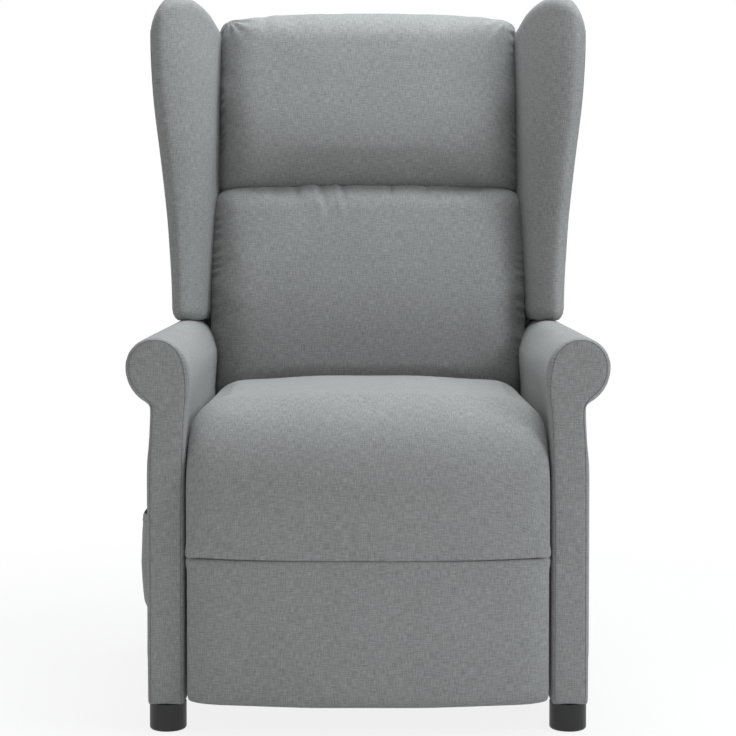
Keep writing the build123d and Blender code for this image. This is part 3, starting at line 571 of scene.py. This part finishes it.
# Stations: height in the back's frame, how far out the outer face is, and how far forwards the front is
wingLook = {
    "rearX": 0.250, "rootX": (0.277, 0.266), "rootQ": (0.25, 0.60), "rootOuterX": 0.320, "rearP": 0.044,
    "bendP": -0.070, "noseIn": 0.020, "noseRound": 0.036, "bow": (0.97, 0.88, 0.74, 0.56, 0.36, 0.16, 0.0),
    "easy": 0.14, "tight": 0.012, "columns": 150, "levels": 140, "smooth": 8, "rim": 0.020, "lowRim": 0.012,
    "capRings": (0.975, 0.94, 0.90, 0.85, 0.80, 0.74, 0.66, 0.56, 0.45, 0.34, 0.23, 0.12, 0.03),
    "lowCapFlat": 0.7, "topCapFlat": 0.55, "profiles": 90, "profileLow": 0.06, "bottomZ": 0.574,
    "tailZ": 0.481, "tailGap": 0.006, "tailUp": 0.12, "tailStep": 0.004, "topQ": 0.834, "peakX": 0.331,
    "lobe": (0.046, 0.078), "innerX": 0.254, "innerDrop": 0.016, "innerLimit": 1.2, "frontRound": 0.060,
    "frontShare": 0.5, "frontCurve": 0.9, "rearRound": (0.075, 0.026), "rearCurve": 2.2, "fill": 0.65,
    "seamMm": 0.55, "seamLean": 0.35, "seamStart": 2,
    "stations": ((0.16, 0.334, -0.170), (0.25, 0.335, -0.173), (0.34, 0.337, -0.178), (0.44, 0.343, -0.190),
                 (0.54, 0.354, -0.215), (0.64, 0.367, -0.240), (0.73, 0.373, -0.252), (0.84, 0.373, -0.252)),
}
# How a loop's corners are cut and how a track through the stations is smoothed
loftLook = {"cutLimit": 0.48, "cutTurns": 4, "cutShare": 0.25, "trackSteps": 400, "trackWindow": 41}


def roundedLoop(corners, rounds, count):
    # Corner points cut back by their rounding, then smoothed and spread evenly round the loop
    points = []
    total = len(corners)
    for i in range(total):
        here = np.array(corners[i], float)
        for other in (corners[i - 1], corners[(i + 1) % total]):
            step = np.array(other, float) - here
            length = np.linalg.norm(step)
            points.append(here + step / length * min(rounds[i], loftLook["cutLimit"] * length))
    loop = np.array(points)
    share = loftLook["cutShare"]
    for turn in range(loftLook["cutTurns"]):
        after = np.roll(loop, -1, axis=0)
        pair = [(1 - share) * loop + share * after, share * loop + (1 - share) * after]
        loop = np.stack(pair, axis=1).reshape(-1, 2)
    closed = np.vstack([loop, loop[:1]])
    reach = np.concatenate([[0], np.cumsum(np.linalg.norm(np.diff(closed, axis=0), axis=1))])
    spots = np.linspace(0, reach[-1], count, endpoint=False)
    return np.stack([np.interp(spots, reach, closed[:, k]) for k in (0, 1)], axis=1)


def smoothTrack(stations, column, q):
    # A smooth value through the stations
    known = np.array(stations)
    window = loftLook["trackWindow"]
    dense = np.linspace(known[0, 0], known[-1, 0], loftLook["trackSteps"])
    track = np.interp(dense, known[:, 0], known[:, column])
    padded = np.pad(track, window // 2, mode="reflect", reflect_type="odd")
    return np.interp(q, dense, np.convolve(padded, np.ones(window) / window, mode="valid"))


def capDrop(size, flat, rim):
    # How far a ring of this size lies off the cap's flat middle, on a quarter circle out to the rim
    edge = np.clip((size - flat) / (1 - flat), 0, 1)
    return rim * (1 - np.sqrt(1 - edge ** 2))


def wingTop(x, p, front):
    # Height of the wing's upper edge: a round lobe outside, a slope down to the head cushion, a round front
    look = wingLook
    out = np.clip((x - look["peakX"]) / look["lobe"][0], 0, 1)
    inward = np.clip((look["peakX"] - x) / (look["peakX"] - look["innerX"]), 0, look["innerLimit"])
    ahead = np.clip((front + look["frontRound"] - p) / look["frontRound"], 0, 1)
    behind = np.clip((p - look["rearP"]) / look["rearRound"][0] + 1, 0, 1)
    top = look["topQ"] - look["lobe"][1] * (1 - np.sqrt(1 - out ** 2)) - look["innerDrop"] * inward ** 2
    frontDrop = look["frontShare"] * look["frontRound"] * (1 - np.sqrt(1 - look["frontCurve"] * ahead ** 2))
    return top - frontDrop - look["rearRound"][1] * behind ** look["rearCurve"]


def wingLoop(q):
    # Outline of the wing across the back's frame: root beside the cushions, soft nose, outer face
    look = wingLook
    outer = smoothTrack(look["stations"], 1, q)
    front = smoothTrack(look["stations"], 2, q)
    rootX = np.interp(q, look["rootQ"], look["rootX"])
    rearX = look["rearX"]
    bendP = look["bendP"]
    noseX = outer - look["noseIn"]
    bow = []
    for share in look["bow"]:   # a quarter of an ellipse from the root to the nose
        bow.append((noseX - share * (noseX - rootX), front + (bendP - front) * (1 - sqrt(1 - share ** 2))))
    corners = [(rearX, look["rearP"]), (rootX, bendP), *bow, (outer, front + look["noseRound"]),
               (look["rootOuterX"], look["rearP"])]
    rounds = [look["tight"], *[look["easy"]] * (len(corners) - 2), look["tight"]]
    loop = roundedLoop(corners, rounds, look["columns"])
    # Rounding draws the loop in, so it is stretched back out to the stations
    wide = (outer - rearX) / (loop[:, 0].max() - rearX)
    deep = (front - bendP) / (loop[:, 1].min() - bendP)
    loop[:, 0] = rearX + (loop[:, 0] - rearX) * wide
    forward = loop[:, 1] < bendP
    loop[:, 1] = np.where(forward, bendP + (loop[:, 1] - bendP) * deep, loop[:, 1])
    return loop


def makeWing(side):
    look = wingLook
    sign = 1 if side == "left" else -1
    count = look["columns"]
    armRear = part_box("arm_pad_left")[1].y + look["tailGap"]
    heights = np.linspace(look["stations"][0][0] - look["profileLow"], look["topQ"], look["profiles"])
    loops = np.array([wingLoop(q) for q in heights])
    topFront = look["stations"][-1][2]

    def footQ(x, p):
        # The wing stops above the arm, and behind the arm its tail goes on down
        y = toChair(x, p, heights[0] + look["tailUp"])[1]
        overArm = smoothStep(armRear + look["tailStep"], armRear - look["tailStep"], y)
        z = look["tailZ"] + (look["bottomZ"] - look["tailZ"]) * overArm
        return (z - pivotZ + p * sin(backLean)) / cos(backLean)

    foot = loops[0]
    rim = loops[-1]
    lowQ = footQ(foot[:, 0], foot[:, 1]) + look["lowRim"]
    topQ = wingTop(rim[:, 0], rim[:, 1], topFront) - look["rim"]
    share = np.linspace(0, 1, look["levels"])
    columnQ = lowQ[None, :] + (topQ - lowQ)[None, :] * share[:, None]
    columnX = np.stack([np.interp(columnQ[:, i], heights, loops[:, i, 0]) for i in range(count)], axis=1)
    columnP = np.stack([np.interp(columnQ[:, i], heights, loops[:, i, 1]) for i in range(count)], axis=1)
    rings = []
    for size in look["capRings"][::-1]:
        x, p = (foot.mean(axis=0) + size * (foot - foot.mean(axis=0))).T
        lift = capDrop(size, look["lowCapFlat"], look["lowRim"])
        rings.append(toChair(sign * x, p, footQ(x, p) + lift))
    for level in range(look["levels"]):
        rings.append(toChair(sign * columnX[level], columnP[level], columnQ[level]))
    for size in look["capRings"]:
        x, p = (rim.mean(axis=0) + size * (rim - rim.mean(axis=0))).T
        drop = capDrop(size, look["topCapFlat"], look["rim"])
        rings.append(toChair(sign * x, p, wingTop(x, p, topFront) - drop))
    points = np.concatenate([np.stack(ring, axis=1) for ring in rings])
    faces = tubeFaces(len(rings), count, sign > 0)
    piece = makePiece(f"wing_cover_{side}", points, faces, fabric, "back")
    addSmooth(piece, look["smooth"])
    bakeModifiers(piece)
    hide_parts(f"wing_{side}")
    # The seam runs up the outer edge of the nose
    outside = int(np.argmax(rim[:, 0] - look["seamLean"] * rim[:, 1]))
    levels = range(look["seamStart"], look["levels"])
    seamLine = [toChair(sign * columnX[k, outside], columnP[k, outside], columnQ[k, outside]) for k in levels]
    layShadeCord(f"wing_seam_{side}", seamLine, piece, "back", look["seamMm"])


# A cord of six sides that lies a tenth of its radius proud; across is a direction that no seam follows
seamCordLook = {"corners": 6, "proud": 0.1, "evenTurns": 2, "across": (0.31, 0.17, 0.93)}


def evenOut(line, turns):
    for turn in range(turns):
        line[1:-1] = 0.25 * line[:-2] + 0.5 * line[1:-1] + 0.25 * line[2:]


def layShadeCord(name, line, cover, body, radiusMm):
    # A seam line: a thin cord whose darker colour is painted shade of the seam's groove, laid on the cover
    # along the given points
    look = seamCordLook
    radius = radiusMm / 1000
    cover = cover.evaluated_get(bpy.context.evaluated_depsgraph_get())
    spots = []
    for point in line:
        found, place, normal, index = cover.closest_point_on_mesh(Vector(point))
        spots.append(np.array(place + normal * (look["proud"] * radius)))
    spots = np.array(spots)
    evenOut(spots, look["evenTurns"])
    tangent = np.gradient(spots, axis=0)
    tangent /= np.maximum(np.linalg.norm(tangent, axis=1, keepdims=True), tiny)
    side = np.cross(tangent, np.array(look["across"]))
    side /= np.maximum(np.linalg.norm(side, axis=1, keepdims=True), tiny)
    other = np.cross(tangent, side)
    lines = []
    for k in range(look["corners"]):
        turn = 2 * pi * k / look["corners"]
        lines.append(spots + radius * (cos(turn) * side + sin(turn) * other))
    points = np.stack(lines, axis=1).reshape(-1, 3)
    return makePiece(name, points, tubeFaces(len(spots), look["corners"]), seamShadeCord, body)


# Y places are behind the arm's front; the outline is the front panel's edge, in metres across and up
armLook = {
    "voxelMm": 4.5, "smooth": 4, "fill": 0.5, "scrollBulge": (0.008, 0.004), "bulgeX": (0.300, 0.268),
    "bulgeY": (0.10, 0.32), "bulgeZ": 0.515, "bulgeSpread": 0.042, "rearEase": 0.014, "easeY": (0.12, 0.36),
    "shoulderX": 0.302, "shoulderWide": 0.038, "shoulderZ": (0.49, 0.55), "sideCrown": 0.005,
    "crownX": (0.310, 0.319), "crownLow": (0.042, 0.12), "crownTop": (0.36, 0.46), "crownFront": 0.05,
    "crownRear": 0.10, "liftRoom": 0.22, "pocketBand": (0.005, 0.07), "seamMm": 0.6, "seamInset": 0.0042,
    "seamSpots": 260, "seamTurns": 6,
    "outline": ((0.321, 0.043), (0.321, 0.20), (0.321, 0.33), (0.3205, 0.392), (0.3185, 0.435),
                (0.3165, 0.470), (0.322, 0.484), (0.337, 0.494), (0.348, 0.510), (0.352, 0.530),
                (0.349, 0.548), (0.341, 0.564), (0.326, 0.575), (0.309, 0.579), (0.292, 0.575),
                (0.277, 0.565), (0.267, 0.549), (0.262, 0.530), (0.260, 0.505), (0.260, 0.480),
                (0.261, 0.455), (0.264, 0.41), (0.267, 0.36), (0.268, 0.30), (0.268, 0.20), (0.268, 0.043)),
}


def makeArm(side):
    look = armLook
    sign = 1 if side == "left" else -1
    piece = fromNode(f"arm_cover_{side}", f"arm_pad_{side}", "base", look, fabric)
    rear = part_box(f"arm_pad_{side}")[1].y
    points = getPoints(piece.data)
    x, y, z = points.T   # views, so that a change to one moves the points
    behind = y - armFront
    # The scroll is stuffed fuller on its inner side
    inner = smoothStep(*look["bulgeX"], np.abs(x))
    height = np.exp(-((z - look["bulgeZ"]) / look["bulgeSpread"]) ** 2)
    x -= sign * np.interp(behind, look["bulgeY"], look["scrollBulge"]) * inner * height
    # Behind, under the wing, the inner shoulder is rounder
    shoulder = np.clip((look["shoulderX"] - np.abs(x)) / look["shoulderWide"], 0, 1) ** 2
    shoulder *= smoothStep(*look["shoulderZ"], z)
    z -= look["rearEase"] * shoulder * smoothStep(*look["easeY"], behind)
    # The outer side is slightly crowned
    crown = smoothStep(*look["crownLow"], z) * (1 - smoothStep(*look["crownTop"], z))
    crown *= smoothStep(0, look["crownFront"], behind) * (1 - smoothStep(rear - look["crownRear"], rear, y))
    if side == "right":   # flat behind the pocket and where the handset is drawn up
        low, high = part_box("side_pocket")
        reachY = np.maximum(np.maximum(low.y - y, y - high.y), 0)
        reachZ = np.maximum(np.maximum(low.z - z, z - high.z - look["liftRoom"]), 0)
        crown *= smoothStep(*look["pocketBand"], np.sqrt(reachY ** 2 + reachZ ** 2))
    x += sign * look["sideCrown"] * crown * smoothStep(*look["crownX"], np.abs(x))
    setPoints(piece.data, points)
    # The front panel is sewn in just inside its outline
    outline = np.array(look["outline"])
    steps = np.concatenate([[0], np.cumsum(np.linalg.norm(np.diff(outline, axis=0), axis=1))])
    spots = np.linspace(0, steps[-1], look["seamSpots"])
    trace = np.stack([np.interp(spots, steps, outline[:, k]) for k in (0, 1)], axis=1)
    evenOut(trace, look["seamTurns"])
    along = np.gradient(trace, axis=0)
    along /= np.linalg.norm(along, axis=1, keepdims=True)
    inset = trace + look["seamInset"] * np.stack([-along[:, 1], along[:, 0]], axis=1)
    line = [(sign * seamX, armFront, seamZ) for seamX, seamZ in inset]
    layShadeCord(f"arm_front_seam_{side}", line, piece, "base", look["seamMm"])


outerBackLook = {"voxelMm": 7.0, "smooth": 5, "fill": 0.3}


def makeOuterBack():
    piece = fromNode("outer_back_cover", "outer_back_panel", "back", outerBackLook, fabric)


# Bulge: how far the panel stands off the arm at shares of its height; flat is the cut panel, in metres
pocketLook = {
    "columns": 72, "rows": 60, "wallMm": 1.5, "offArmMm": 0.4, "sideFlat": 3.2, "sideRound": 0.7,
    "bulgeMm": ((0, 16.0), (0.2, 21.5), (0.5, 25.0), (0.8, 23.0), (1, 20.5)), "footRound": 0.16, "pleats": 9,
    "pleatMm": 1.3, "pleatUp": 0.10, "pleatSpread": 0.09, "waveMm": 0.6, "wave": (11, 4), "hemMm": 14.0,
    "hemStepMm": 0.7, "hemBand": 0.01, "lipMm": 1.5, "lipStart": 0.97, "mouthDipMm": 4.0, "mouthCurve": 9,
    "waist": 0.012, "seamMm": 0.45, "seamIn": 2, "flat": (0.189, 0.171),
}


def makePocket():
    # A panel sewn to the arm on three sides, gathered at its foot, with a turned hem at the mouth
    look = pocketLook
    low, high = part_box("side_pocket")
    halfLong = (high.y - low.y) / 2
    middleY = (high.y + low.y) / 2
    tall = high.z - low.z
    wide = look["columns"]
    rows = look["rows"]
    u, v = np.meshgrid(np.linspace(-1, 1, wide), np.linspace(0, 1, rows))
    free = 1 - u ** 6   # falls to nothing at the sewn sides
    known = np.array(look["bulgeMm"])
    bulge = np.interp(v, known[:, 0], known[:, 1])
    foot = np.sqrt(1 - np.clip(1 - v / look["footRound"], 0, 1) ** 2)
    out = bulge * (1 - np.abs(u) ** look["sideFlat"]) ** look["sideRound"] * foot
    gather = np.exp(-((v - look["pleatUp"]) / look["pleatSpread"]) ** 2) * (1 - u ** 8)
    out += look["pleatMm"] * np.sin(pi * look["pleats"] * u) * gather
    out += look["waveMm"] * np.sin(look["wave"][0] * v + look["wave"][1] * u) * free * foot * (1 - v)
    hemV = 1 - look["hemMm"] / 1000 / tall
    out += look["hemStepMm"] * smoothStep(hemV - look["hemBand"], hemV + look["hemBand"], v) * free
    out -= look["lipMm"] * smoothStep(look["lipStart"], 1.0, v) * free
    z = low.z + tall * v - look["mouthDipMm"] / 1000 * (1 - u ** 2) * v ** look["mouthCurve"]
    y = middleY + halfLong * u * (1 - look["waist"] * np.sin(pi * v))
    x = high.x - (out + look["offArmMm"]) / 1000
    grid = np.stack([x, y, z], axis=2)
    faces = []
    for row in range(rows - 1):
        for i in range(wide - 1):
            here = row * wide + i
            faces.append((here, here + wide, here + wide + 1, here + 1))
    piece = makePiece("pocket_cover", grid.reshape(-1, 3), faces, fabric, "base")
    wall = piece.modifiers.new("wall", "SOLIDIFY")
    wall.thickness = look["wallMm"] / 1000
    wall.offset = -1
    bakeModifiers(piece)
    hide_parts("side_pocket")
    seamIn = look["seamIn"]
    hemRow = int(round(hemV * (rows - 1)))
    edge = [tuple(grid[k, seamIn]) for k in range(rows - seamIn, seamIn, -1)]
    edge += [tuple(grid[seamIn, k]) for k in range(seamIn, wide - seamIn)]
    edge += [tuple(grid[k, wide - 1 - seamIn]) for k in range(seamIn, rows - seamIn)]
    hem = [tuple(grid[hemRow, k]) for k in range(seamIn, wide - seamIn)]
    threads = [layShadeCord("pocket_edge_seam", edge, piece, "base", look["seamMm"]),
               layShadeCord("pocket_hem_seam", hem, piece, "base", look["seamMm"])]


makeSeat()
print("seat made")
makeBackCushion("head_cushion_cover", "head_cushion", headFolds, headLook)
makeBackCushion("lumbar_cushion_cover", "lumbar_cushion", lumbarFolds, lumbarLook)
print("back cushions made")
makeFootrest()
for side in ("left", "right"):
    makeArm(side)
    makeWing(side)
makeOuterBack()
makePocket()
print("covers made")

# The photograph's camera, which keeps upright lines nearly parallel
cameraSet = {
    "distance": 2.77, "height": 0.737, "sensorMm": 36, "lensMm": 93.9, "dropDeg": 2.04, "shift": -0.1,
}
lens = bpy.data.cameras.new("camera")
lens.sensor_width = cameraSet["sensorMm"]
lens.lens = cameraSet["lensMm"]
lens.shift_y = cameraSet["shift"]
camera = bpy.data.objects.new("camera", lens)
camera.location = (0, armFront - cameraSet["distance"], cameraSet["height"])
camera.rotation_euler = (radians(90 - cameraSet["dropDeg"]), 0, 0)
scene.collection.objects.link(camera)
scene.camera = camera

# A white room with soft daylight from above and from the right, on a pale floor
studio = {
    "floorSize": 40.0, "floorColour": "#f4f4f4", "worldLevel": 0.36, "shadowGlow": 0.86,
    "shadowReach": (0.75, 1.5), "daylight": "#f6fcff",
    "lamps": {
        "top_lamp": {"watts": 67.0, "size": 2.0, "place": (0.30, 0.30, 3.1), "target": (0, -0.1, 0.5)},
        "side_lamp": {"watts": 28.0, "size": 1.2, "place": (2.3, -1.2, 2.2), "target": (0, 0, 0.6)},
    },
}
white = (1, 1, 1, 1)
world = bpy.data.worlds.new("studio")
scene.world = world
world.use_nodes = True
sky = world.node_tree
sky.nodes.clear()
path = addNode(sky, "ShaderNodeLightPath")
seen = addNode(sky, "ShaderNodeMath", {"operation": "MAXIMUM"},
               {0: path.outputs["Is Camera Ray"], 1: path.outputs["Is Glossy Ray"]})
seenAll = addNode(sky, "ShaderNodeMath", {"operation": "MAXIMUM"},
                  {0: seen.outputs[0], 1: path.outputs["Is Transmission Ray"]})
level = addNode(sky, "ShaderNodeMix", {"data_type": "FLOAT"},
                {0: seenAll.outputs[0], 2: studio["worldLevel"], 3: 1.0})
light = addNode(sky, "ShaderNodeBackground", {}, {0: white, 1: level.outputs[0]})
addNode(sky, "ShaderNodeOutputWorld", {}, {0: light.outputs[0]})

for name, look in studio["lamps"].items():
    data = bpy.data.lights.new(name, "AREA")
    data.energy = look["watts"]
    data.color = hexColour(studio["daylight"])[:3]
    data.shape = "DISK"
    data.size = look["size"]
    lamp = bpy.data.objects.new(name, data)
    lamp.location = look["place"]
    aim = Vector(look["target"]) - Vector(look["place"])
    lamp.rotation_euler = aim.to_track_quat("-Z", "Y").to_euler()
    scene.collection.objects.link(lamp)

# Matt floor that is white all round, and near the chair dim enough to keep its shadow
floorMat, floorTree = emptyMaterial("pale_floor")
floorPath = addNode(floorTree, "ShaderNodeLightPath")
floorMatt = addNode(floorTree, "ShaderNodeBsdfDiffuse", {}, {0: hexColour(studio["floorColour"])})
floorGlow = addNode(floorTree, "ShaderNodeEmission", {}, {0: white, 1: 1.0})
floorSeen = addNode(floorTree, "ShaderNodeMath", {"operation": "MAXIMUM"},
                    {0: floorPath.outputs["Is Camera Ray"], 1: floorPath.outputs["Is Glossy Ray"]})
floorPlace = addNode(floorTree, "ShaderNodeTexCoord")
floorFar = addNode(floorTree, "ShaderNodeVectorMath", {"operation": "LENGTH"},
                   {0: floorPlace.outputs["Object"]})
floorGlowShare = addNode(floorTree, "ShaderNodeMapRange", {}, {
    0: floorFar.outputs["Value"], 1: studio["shadowReach"][0], 2: studio["shadowReach"][1],
    3: studio["shadowGlow"], 4: 1.0})
floorShare = addNode(floorTree, "ShaderNodeMath", {"operation": "MULTIPLY"},
                     {0: floorSeen.outputs[0], 1: floorGlowShare.outputs[0]})
floorMix = addNode(floorTree, "ShaderNodeMixShader", {},
                   {0: floorShare.outputs[0], 1: floorMatt.outputs[0], 2: floorGlow.outputs[0]})
closeMaterial(floorTree, floorMix)
half = studio["floorSize"] / 2
floorMesh = bpy.data.meshes.new("floor")
floorCorners = [(-half, -half, 0), (half, -half, 0), (half, half, 0), (-half, half, 0)]
floorMesh.from_pydata(floorCorners, [], [(0, 1, 2, 3)])
floorMesh.materials.append(floorMat)
floor = bpy.data.objects.new("floor", floorMesh)
scene.collection.objects.link(floor)
print("studio made")
